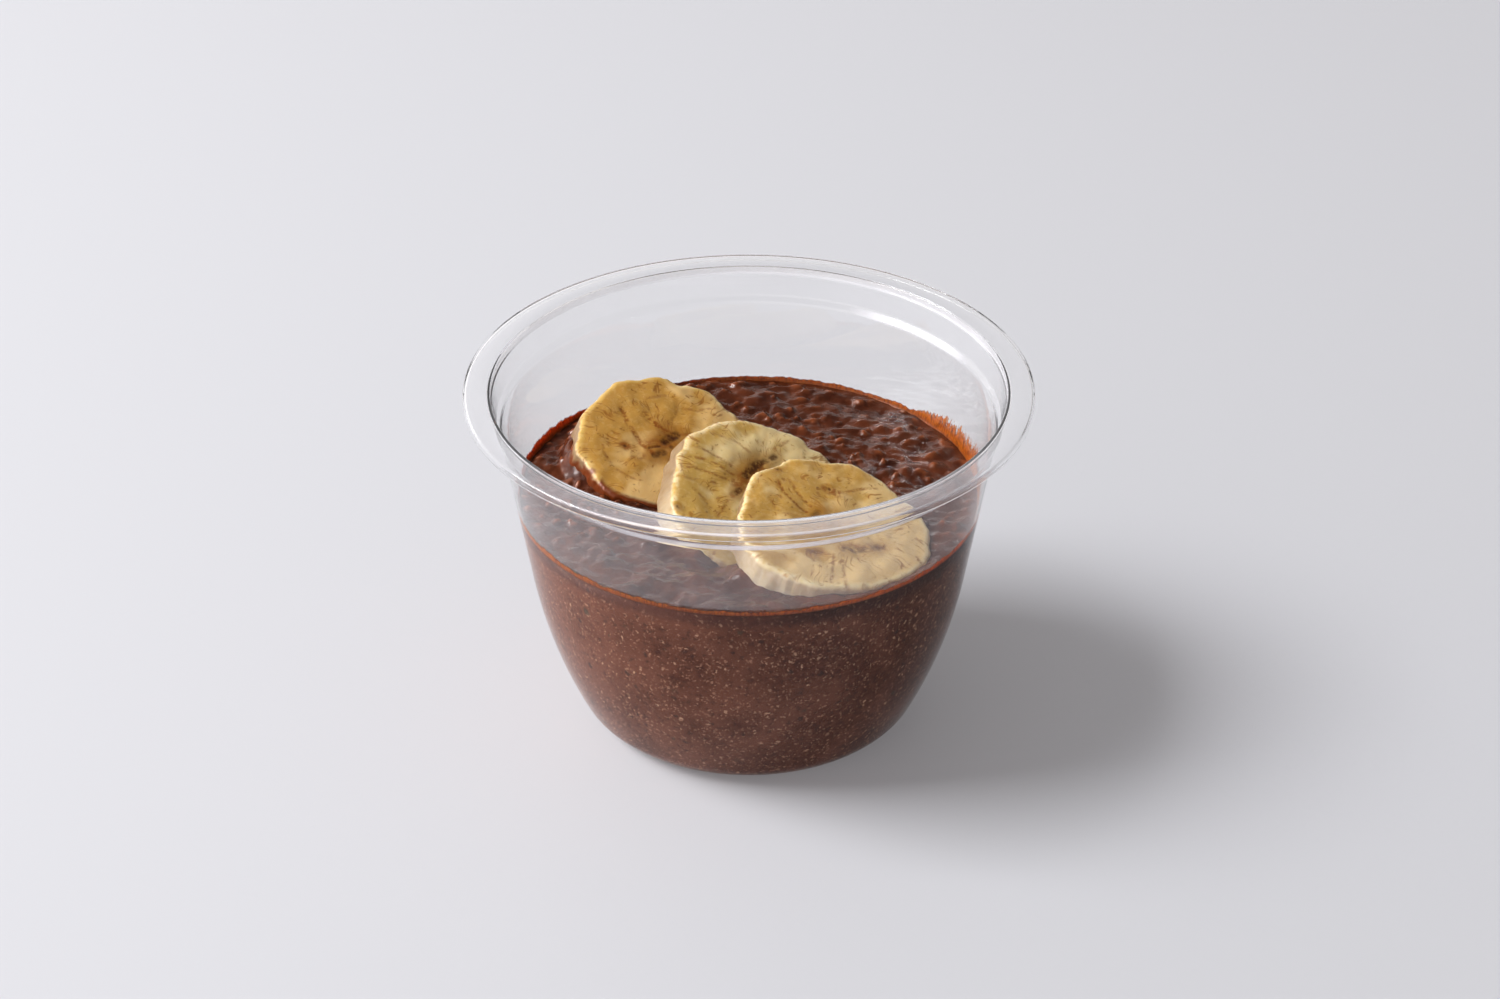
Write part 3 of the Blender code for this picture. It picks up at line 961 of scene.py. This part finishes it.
STREAKS = {
    "banana_slice_back": (
        (0.7, 0.9, (-8.8, 6.9), (-7.5, 3.8), (-6.0, 1.3), (-4.4, -1.2), (-2.2, -3.2)),
        (1.1, 1.0, (-4.4, 6.3), (-2.9, 4.8), (-1.4, 3.4), (0.9, 1.9)), (0.6, 0.5, (-3.8, 10.6), (-1.0, 12.0)),
        (0.5, 0.6, (2.6, 9.3), (5.0, 9.4), (8.2, 10.7)), (1.3, 0.9, (-7.7, -2.1), (-6.9, -2.7)),
        (0.4, 0.6, (-11.4, -3.0), (-10.9, -5.2), (-9.6, -6.9)), (1.8, 0.7, (-3.0, -1.0), (0.8, 0.0)),
        (0.4, 0.6, (-8.4, -8.5), (-6.2, -9.9), (-3.8, -10.3)), (1.4, 0.6, (-5.4, -5.0), (-4.2, -4.4)),
        (0.5, 0.5, (1.5, -2.5), (3.0, -6.0), (3.4, -9.5)), (0.5, 0.6, (2.5, 2.5), (6.5, 4.0), (10.5, 4.4)),
        (0.5, 0.5, (0.2, 4.6), (1.4, 8.2), (1.0, 11.6))),
    "banana_slice_middle": (
        (0.5, 0.8, (-14.6, 4.6), (-12.0, 4.9), (-9.5, 4.5), (-7.0, 3.8), (-4.4, 2.9)),
        (0.5, 0.8, (-15.3, 2.0), (-12.5, 2.5), (-9.8, 2.1), (-7.5, 2.0), (-4.6, 1.7)),
        (0.45, 0.7, (-14.2, 7.4), (-11.0, 6.9), (-8.0, 5.9), (-5.0, 4.6)),
        (2.2, 0.9, (-4.8, 2.0), (-1.5, 7.0)),
        (0.45, 0.6, (-12.8, -2.2), (-10.8, -3.6), (-9.0, -5.3)), (0.45, 0.6, (-6.2, -3.0), (-7.6, -7.0)),
        (0.45, 0.5, (-10.6, 11.4), (-6.2, 11.0), (-3.0, 9.0)), (0.9, 0.7, (-5.6, -1.4), (-3.8, 1.2)),
        (0.5, 0.5, (-9.0, 0.4), (-12.2, -0.2), (-15.6, -0.4)), (0.45, 0.6, (0.6, 12.0), (3.0, 14.6))),
    "banana_slice_front": (
        (0.5, 1.0, (-10.0, 8.6), (-9.0, 6.0), (-7.4, 3.9), (-6.2, 2.6), (-4.6, 1.6)),
        (0.5, 0.8, (-8.0, 9.3), (-6.9, 7.0), (-5.6, 5.0), (-3.8, 3.2)), (1.7, 0.9, (-1.2, 9.0), (0.6, 8.0)),
        (0.5, 0.7, (2.1, 8.9), (4.8, 10.6), (7.7, 11.6)), (1.6, 0.6, (2.0, -6.2), (8.8, -4.0)),
        (0.45, 0.7, (0.4, -8.4), (0.3, -12.0), (0.2, -15.6)), (1.5, 0.6, (-3.8, -8.4), (-2.2, -8.2)),
        (0.45, 0.7, (1.8, -8.0), (2.2, -12.0), (2.7, -16.1)), (0.45, 0.5, (-5.0, -4.0), (-9.5, -7.0)),
        (0.45, 0.5, (6.0, 2.0), (10.5, 4.0), (14.0, 4.6)),
        (0.45, 0.5, (-11.4, 3.4), (-10.2, 0.6), (-6.0, -1.0))),
}


def to_segment(x, y, start, end):
    """Distance from a point to a straight piece between two points."""
    dx, dy = end[0] - start[0], end[1] - start[1]
    length = dx * dx + dy * dy
    t = 0.0 if length == 0.0 else min(1.0, max(0.0, ((x - start[0]) * dx + (y - start[1]) * dy) / length))
    return ((x - start[0] - t * dx) ** 2 + (y - start[1] - t * dy) ** 2) ** 0.5


def mark_at(marks, x, y, spread=1.0):
    """How strongly the marks, widened by spread, colour a point of the face, from 0 to 1."""
    most = 0.0
    for width, strength, *points in marks:
        if abs(x - points[0][0]) + abs(y - points[0][1]) > 20.0:
            continue
        apart = min(to_segment(x, y, a, b) for a, b in zip(points, points[1:] or points))
        width *= spread
        most = max(most, strength * smooth_step(1.0 - (apart - width * 0.25) / (width * 0.75)))
    return most


print("marks placed by hand:", sum(len(marks) for table in (CORES, STREAKS) for marks in table.values()))

# %% Edges
# swells and notches of each cut edge: direction and half width in degrees, millimetres outwards
SWELLS = {
    "banana_slice_back": ((-161, 12, 0.7), (-122, 20, 0.9), (36, 12, 0.6), (65, 12, 0.7), (85, 8, -0.8),
                          (101, 14, 0.8), (124, 12, 0.4), (150, 18, -0.5), (180, 14, -0.6)),
    "banana_slice_middle": ((-176, 16, -0.6), (63, 7, -0.7), (75, 9, 0.3), (92, 7, -0.2), (108, 10, 0.3),
                            (146, 11, 0.6), (158, 8, -0.5), (172, 14, -0.6)),
    "banana_slice_front": ((-62, 22, 0.6), (-15, 16, 0.6), (0, 8, -0.3), (42, 20, -0.5), (79, 12, 1.0),
                           (95, 8, -0.5), (117, 10, 0.3), (127, 10, -0.6), (146, 13, 0.9), (174, 18, -0.6)),
}


def edge_at(name, angle):
    """How far the edge of a slice stands out past its even outline in a direction."""
    out = 0.0
    for direction, width, height in SWELLS[name]:
        apart = abs((degrees(angle) - direction + 180.0) % 360.0 - 180.0)
        out += height * smooth_step(1.0 - apart / width)
    return out * MM


print("the back slice swells by", round(edge_at("banana_slice_back", radians(36)) / MM, 1), "mm")

# %% [markdown]
# ## Modelling a slice of banana
# A peeled slice has a cut face, a little uneven and sunk at its marks, and a wall with faint ribs where
# the peel was. The turned disc is dense enough to carry that relief in the mesh. Each point also keeps
# its place in the slice's own flat coordinates, in millimetres, so that the pattern lies true on the
# leaning slice, and how strongly the marks and a halo round them colour it.

# %% Slice shape
SLICE_SIDES = 300
FACE_RINGS = 72
UNDER_RINGS = 12
WALL_RINGS = 20
EDGE_ROUND = 1.1 * MM
RIBS = ((0.18, 11, 0.12), (0.16, 27, 0.2))   # height, how many round the wall, change over its depth
RIDGES = ((0.30, 0.30), (0.045, 0.9))        # height and fineness of the unevenness of the face
HALO_SPREAD = 3.2
SLICE_MASKS = ("core", "streak", "halo", "rim")


def slice_profile(radius):
    """From the middle of the underside round the edge to the middle of the cut face."""
    face = radius - EDGE_ROUND
    line = [(0.0, -SLICE_THICKNESS)]
    line += between([(radius * 0.1, -SLICE_THICKNESS), (face, -SLICE_THICKNESS)], UNDER_RINGS)
    line += arc((face, EDGE_ROUND - SLICE_THICKNESS), EDGE_ROUND, -pi / 2, 0.0, 4)[1:]
    line += between([line[-1], (radius, -EDGE_ROUND)], WALL_RINGS)[1:]
    line += arc((face, -EDGE_ROUND), EDGE_ROUND, 0.0, pi / 2, 6)[1:]
    return line + [(face * (1 - i / FACE_RINGS), 0.0) for i in range(1, FACE_RINGS + 1)]


def build_slice(name, mat):
    row, turn = frames[name]["row"], frames[name]["turn"]
    radius = row["radius"] * MM
    bm = turned(slice_profile(radius), SLICE_SIDES)
    own = bm.verts.layers.float_vector.new("slice_place")
    core, streak, halo, rim = (bm.verts.layers.float.new(label) for label in SLICE_MASKS)
    across, along = HEARTS[name]
    salt = len(name) * 3.7 + across
    for vert in bm.verts:
        x, y, depth = vert.co
        angle = atan2(y, x)
        reach = vert.co.xy.length / radius
        vert[rim] = reach
        ribs = 0.0
        for height, count, change in RIBS:
            spot = Vector((cos(angle) * count, sin(angle) * count, depth / MM * change + salt))
            ribs += height * noise.noise(spot)
        ribs = edge_at(name, angle) + ribs * MM
        stretch = (slice_outline(row, angle) + ribs * smooth_step(reach * 2 - 1)) / radius
        x, y, z = x * stretch + row["slant"] * depth, y * stretch, depth
        if depth > -0.5 * EDGE_ROUND:
            vert[core] = mark_at(CORES[name], x / MM, y / MM)
            vert[streak] = mark_at(STREAKS[name], x / MM, y / MM)
            vert[halo] = mark_at(CORES[name], x / MM, y / MM, HALO_SPREAD)
            ridge = 0.0
            for height, fine in RIDGES:
                ridge += height * noise.noise(Vector((x / MM * fine, y / MM * fine, salt)))
            dip = 0.12 * vert[core] + 0.04 * vert[streak] + 0.25 * reach ** 6
            z += (ridge - dip) * MM * smooth_step((1.02 - reach) * 12)
        vert[own] = (x / MM - across, y / MM - along, depth / MM)
        vert.co = turn @ Vector((x, y, z))
    bmesh.ops.recalc_face_normals(bm, faces=bm.faces)
    return piece(name.replace("banana_slice", "banana"), bm, mat)


print("a slice is", round(SLICE_THICKNESS / MM, 1), "mm thick")

# %% [markdown]
# The flesh is drawn by one node group in the slice's flat coordinates. Fine fibres are noise that
# changes fast with the direction from the heart and slowly outwards, so that it makes lines that run
# out. Short arcs are the other way about. Patches of paler and riper flesh lie under a warm heart, a
# pale ring along the edge that is partly the flesh's own colour and partly a painted highlight, the
# fibres and arcs, and the marks from the mesh. The wall has a pale colour of its own, with painted
# shade on its left side. Every slice uses the group with its own seed.

# %% Flesh patterns
FLESH_INPUTS = {"Vector": "Vector", "Salt": "Float", "Rim": "Float", "Core": "Float", "Streak": "Float",
                "Halo": "Float", "Shade": "Float"}
FLESH_OUTPUTS = {"Color": "Color", "Height": "Float", "Wet": "Float"}


def lines_round(bent, salt, around, outwards):
    """How far a noise is from its middle value; it changes with the direction and with the reach."""
    way = vector_calc("NORMALIZE", bent)
    x, y = (times(separate(way, axis), around) for axis in "XY")
    z = plus(times(vector_calc("LENGTH", bent), outwards), salt)
    fibre = grain(combined(x, y, z), 1.0, 1.5, 0.5)
    return calc("ABSOLUTE", minus(fibre, 0.5))


def flesh_lines(moved, flat, salt, patches, broken):
    """Masks of the fine fibres that run outwards and of the short arcs round the heart."""
    push = vector_calc("SUBTRACT", grain(moved, 0.13, output="Color"), (0.5, 0.5, 0.5))
    bent = vector_calc("ADD", flat, vector_calc("MULTIPLY", push, (8.0, 8.0, 0.0)))
    reach = vector_calc("LENGTH", bent)
    fibres = ramp(lines_round(bent, salt, 9.0, 0.10), 0.030, 0.004)
    fibres = times(times(fibres, ramp(patches, 0.47, 0.60)), ramp(reach, 1.5, 4.0))
    arcs = ramp(lines_round(bent, salt, 2.6, 0.75), 0.022, 0.004)
    arcs = times(times(arcs, ramp(broken, 0.53, 0.62)), ramp(reach, 4.0, 8.0))
    return fibres, arcs


print("inputs of the flesh:", ", ".join(FLESH_INPUTS))

# %% Flesh colours
FLESH_PALE, FLESH_RIPE = (0.790, 0.615, 0.325), (0.605, 0.395, 0.118)
HEART_WARM, CRUMB_PALE, RIM_PALE_AND_HIGHLIGHT = (0.420, 0.220, 0.036), (0.82, 0.68, 0.42), (0.80, 0.68, 0.44)
HALO_BROWN, FIBRE_BROWN, ARC_BROWN = (0.380, 0.190, 0.030), (0.36, 0.155, 0.024), (0.34, 0.145, 0.022)
STREAK_BROWN, CORE_DARK, SPECK_BROWN = (0.300, 0.100, 0.009), (0.085, 0.028, 0.005), (0.26, 0.11, 0.03)
WALL_PALE, WALL_DULL, WALL_SHADE = (0.75, 0.62, 0.43), (0.67, 0.52, 0.32), (0.44, 0.37, 0.32)


def wall_colour(place):
    """The slice's wall, shaded on its left side."""
    skin = mixed(ramp(grain(place, 0.45, 3.0), 0.38, 0.66), WALL_PALE, WALL_DULL)
    towards = minus(separate(place, "X"), times(separate(place, "Y"), 0.5))
    return mixed(ramp(towards, -4.0, -13.0), skin, WALL_SHADE, "MULTIPLY")


def flesh_group():
    """Colour, height and a patchy value of the flesh, from the slice's own coordinates and marks."""
    group, start, end = group_of("banana_flesh", FLESH_INPUTS, FLESH_OUTPUTS)
    given = start.outputs
    place, salt = given["Vector"], given["Salt"]
    flat = vector_calc("MULTIPLY", place, (1.0, 1.0, 0.0))
    moved = vector_calc("ADD", flat, combined(0.0, 0.0, salt))
    patches, broken = grain(moved, 0.27, 3.0, 0.6), grain(moved, 0.75)
    crumb = grain(moved, 1.1, 3.0, 0.65)
    fibres, arcs = flesh_lines(moved, flat, salt, patches, broken)
    rim = times(ramp(given["Rim"], 0.91, 0.965), ramp(broken, 0.30, 0.55))
    blush = ramp(plus(grain(moved, 0.14), given["Shade"]), 0.43, 0.60)
    colour = mixed(blush, FLESH_PALE, FLESH_RIPE)
    for mask, strength, paint in (
            (ramp(vector_calc("LENGTH", flat), 7.5, 1.5), 0.75, HEART_WARM),
            (ramp(crumb, 0.46, 0.64), 0.20, CRUMB_PALE),
            # pale ring along the edge: partly the flesh's own colour, partly a painted highlight
            (rim, 0.68, RIM_PALE_AND_HIGHLIGHT),
            (ramp(given["Halo"], 0.0, 1.0), 0.62, HALO_BROWN),
            (fibres, 0.70, FIBRE_BROWN),
            (arcs, 0.75, ARC_BROWN),
            (times(given["Streak"], ramp(crumb, 0.36, 0.60)), 0.90, STREAK_BROWN),
            (times(given["Core"], ramp(crumb, 0.26, 0.62)), 0.95, CORE_DARK),
            (ramp(spots(moved, 0.40)["Distance"], 0.14, 0.05), 0.5, SPECK_BROWN)):
        colour = tinted(colour, mask, strength, paint)
    deep = ramp(times(separate(place, "Z"), -1.0), 0.35, 1.0)
    wire(mixed(deep, colour, wall_colour(place)), end.inputs["Color"])
    wire(minus(crumb, times(fibres, 0.4)), end.inputs["Height"])
    wire(patches, end.inputs["Wet"])
    return group


FLESH = flesh_group()
print("the flesh has", len(FLESH.nodes), "nodes")

# %% [markdown]
# Each slice has a material of its own, which gives the group the masks of its mesh. Chocolate has
# climbed the wall of the back slice and stained it brown, while the other two show a stain only at
# their foot. The back slice is the ripest, so its face is darker inside the rim. A little subsurface
# light makes the fruit look moist and soft.

# %% Banana material
# how high above the pudding chocolate has stained each slice, in millimetres, and how strongly; how much
# riper it is inside its rim; and how wide its pale rim with its painted highlight is: under 1 it stays faint
FINISHES = {"banana_slice_back": dict(stain=4.2, strength=1.0, ripe=1.0, rim=0.94),
            "banana_slice_middle": dict(stain=-0.3, strength=0.75, ripe=0.0, rim=1.0),
            "banana_slice_front": dict(stain=-0.3, strength=0.50, ripe=0.65, rim=0.985)}
RIPE_TINT = (0.86, 0.74, 0.60)
STAIN_BROWN = (0.175, 0.036, 0.003)
STAIN_FADE = 2.2
STAIN_WOBBLE = 7.0


def banana_material(name, salt):
    mat, tree, shader = new_material("banana_flesh_" + name.split("_")[-1], IOR=1.42, Subsurface_Weight=0.30,
                                     Subsurface_Radius=(1.0, 0.75, 0.40), Subsurface_Scale=3.0 * MM)
    finish = FINISHES[name]
    own = attribute(tree, "slice_place", "Vector")
    core, streak, halo, rim = (attribute(tree, label) for label in SLICE_MASKS)
    shade = vector_calc("DOT_PRODUCT", own, (*SLICES[name]["shade"], 0.0))
    found = use_group(tree, FLESH, Vector=own, Salt=salt, Rim=times(rim, finish["rim"]), Core=core,
                      Streak=streak, Halo=halo, Shade=shade)
    mm = millimetres(tree)
    wobble = times(minus(grain(mm, 0.42, 3.0), 0.5), STAIN_WOBBLE)
    above = plus(minus(separate(mm, "Z"), LEVEL / MM), wobble)
    stain = ramp(above, finish["stain"], finish["stain"] - STAIN_FADE)
    stain = times(stain, ramp(rim, 0.91, 0.975))
    inner = times(finish["ripe"], ramp(rim, 0.965, 0.90))
    colour = mixed(inner, found["Color"], RIPE_TINT, "MULTIPLY")
    wire(tinted(colour, stain, finish["strength"], STAIN_BROWN), shader.inputs["Base Color"])
    wire(plus(0.28, times(found["Wet"], 0.25)), shader.inputs["Roughness"])
    bump(found["Height"], shader, 0.14, 0.4 * MM)
    return mat


for salt, name in enumerate(SLICES):
    banana = build_slice(name, banana_material(name, 3.1 + salt * 5.7))
    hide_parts(name)
